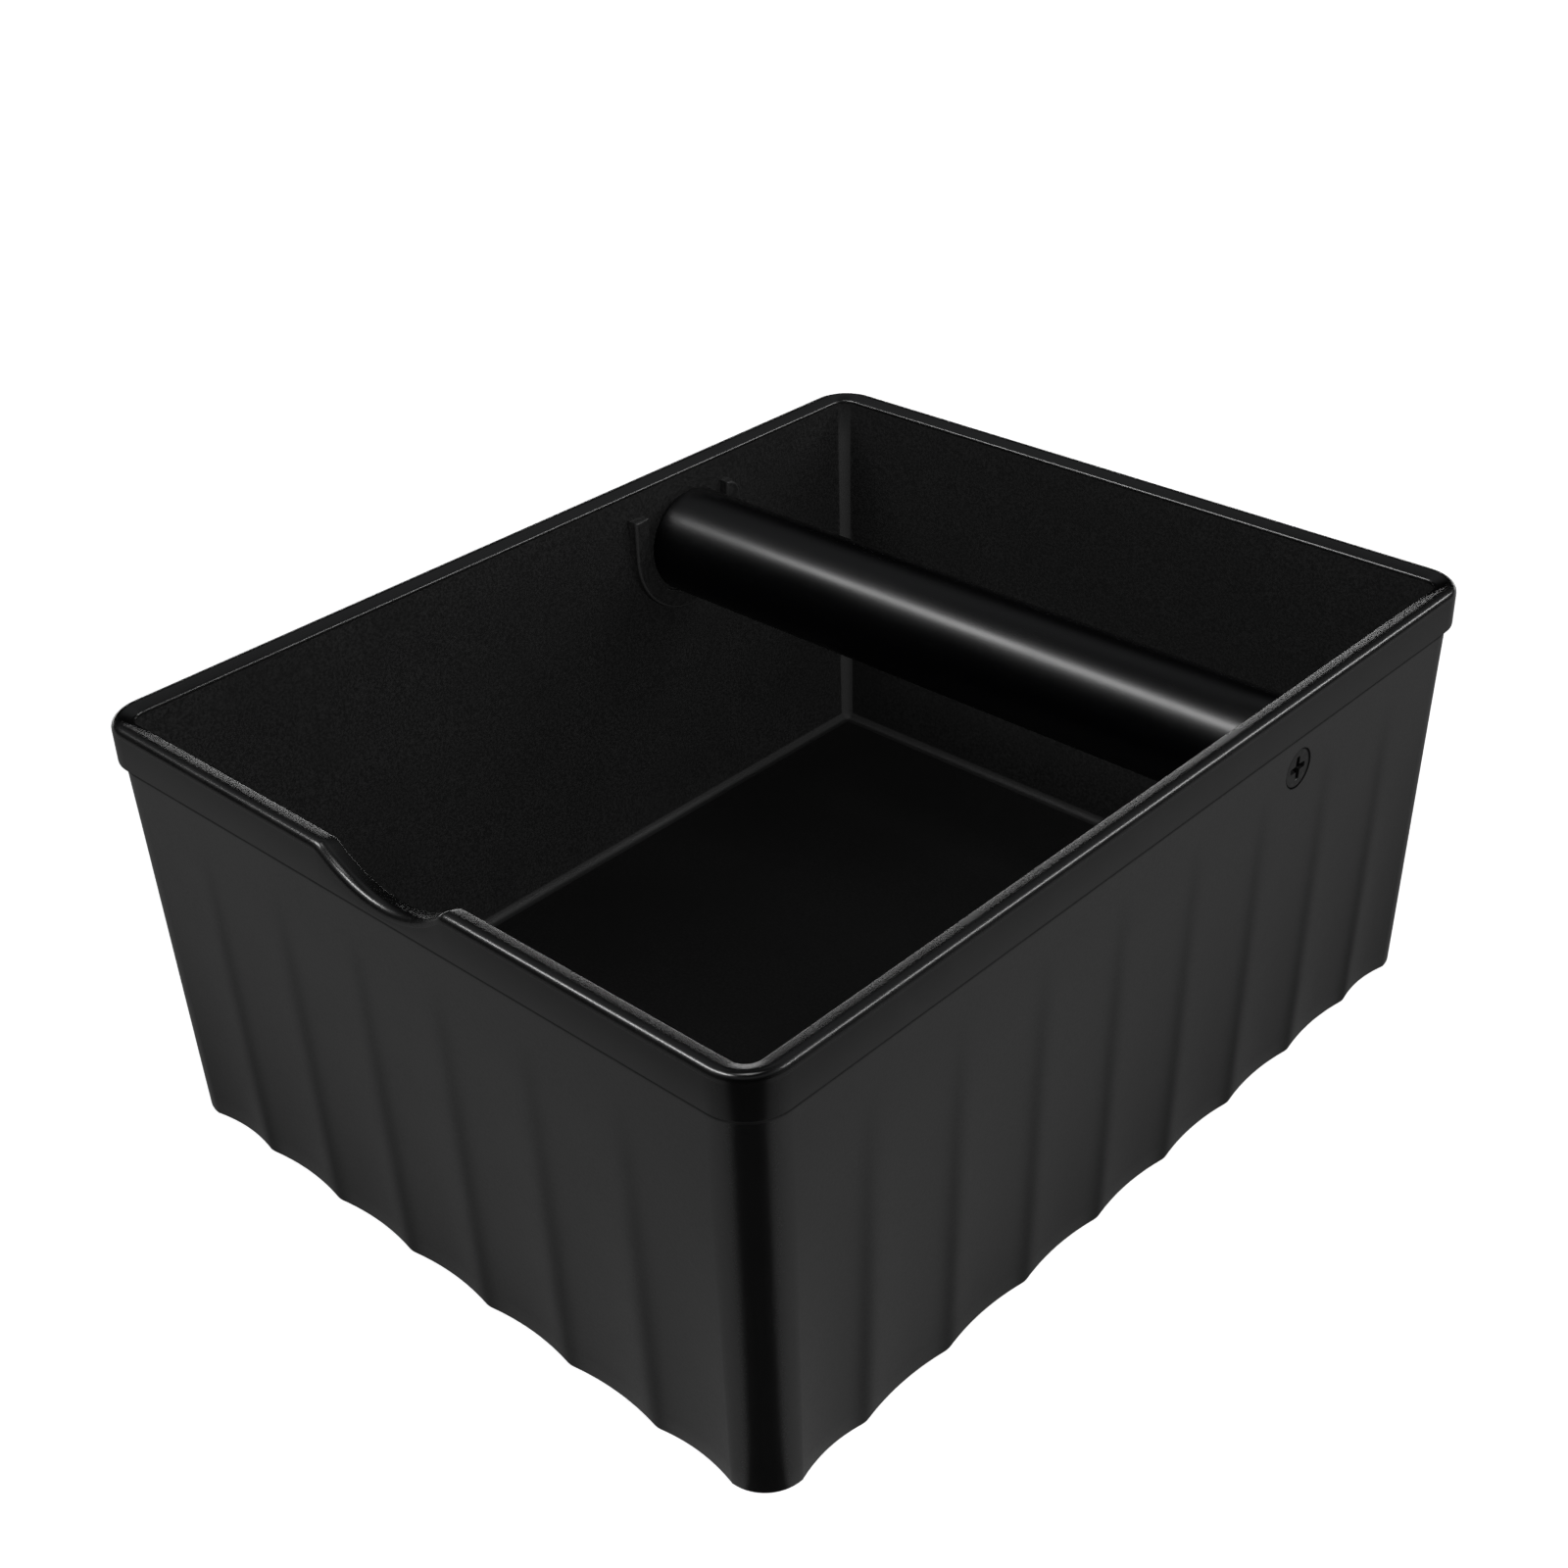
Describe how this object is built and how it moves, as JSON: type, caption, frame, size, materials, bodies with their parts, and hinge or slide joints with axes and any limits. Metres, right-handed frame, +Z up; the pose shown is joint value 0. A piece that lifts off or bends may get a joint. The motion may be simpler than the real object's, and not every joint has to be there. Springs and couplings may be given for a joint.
{
  "type": "espresso knock box",
  "caption": "Rectangular tapered bin with fluted walls, a banded rim, a thumb notch and a rubber-sleeved cross bar for knocking out spent coffee pucks.",
  "frame": {"origin": "centre of the footprint, on the table under the feet", "axes": "+Z up; -Y out of the short side with the thumb notch; the knock bar runs along X, nearer the +Y side"},
  "size_m": [0.1608, 0.2016, 0.088],
  "materials": {
    "abs_black": "satin, fine grain",
    "zinc_steel": "zinc plated",
    "sleeve_rubber": "smooth, semi-gloss",
    "plug_brass": "turned",
    "black_screw": "black oxide",
    "foot_rubber": "matte"
  },
  "bodies": {
    "box": {"bin_body": "abs_black", "foot_front_left": "foot_rubber", "foot_front_right": "foot_rubber", "foot_rear_left": "foot_rubber", "foot_rear_right": "foot_rubber"},
    "knock_bar": {"bar_core_tube": "zinc_steel", "bar_rubber_sleeve": "sleeve_rubber", "bar_end_plug_left": "plug_brass", "bar_end_plug_right": "plug_brass", "bar_screw_left": "black_screw", "bar_screw_right": "black_screw"}
  },
  "joints": [
    {"name": "knock_bar_turn", "type": "hinge", "parent": "box", "child": "knock_bar", "pos_m": [0, 0.0425, 0.0723], "axis": [1, 0, 0], "continuous": true}
  ]
}
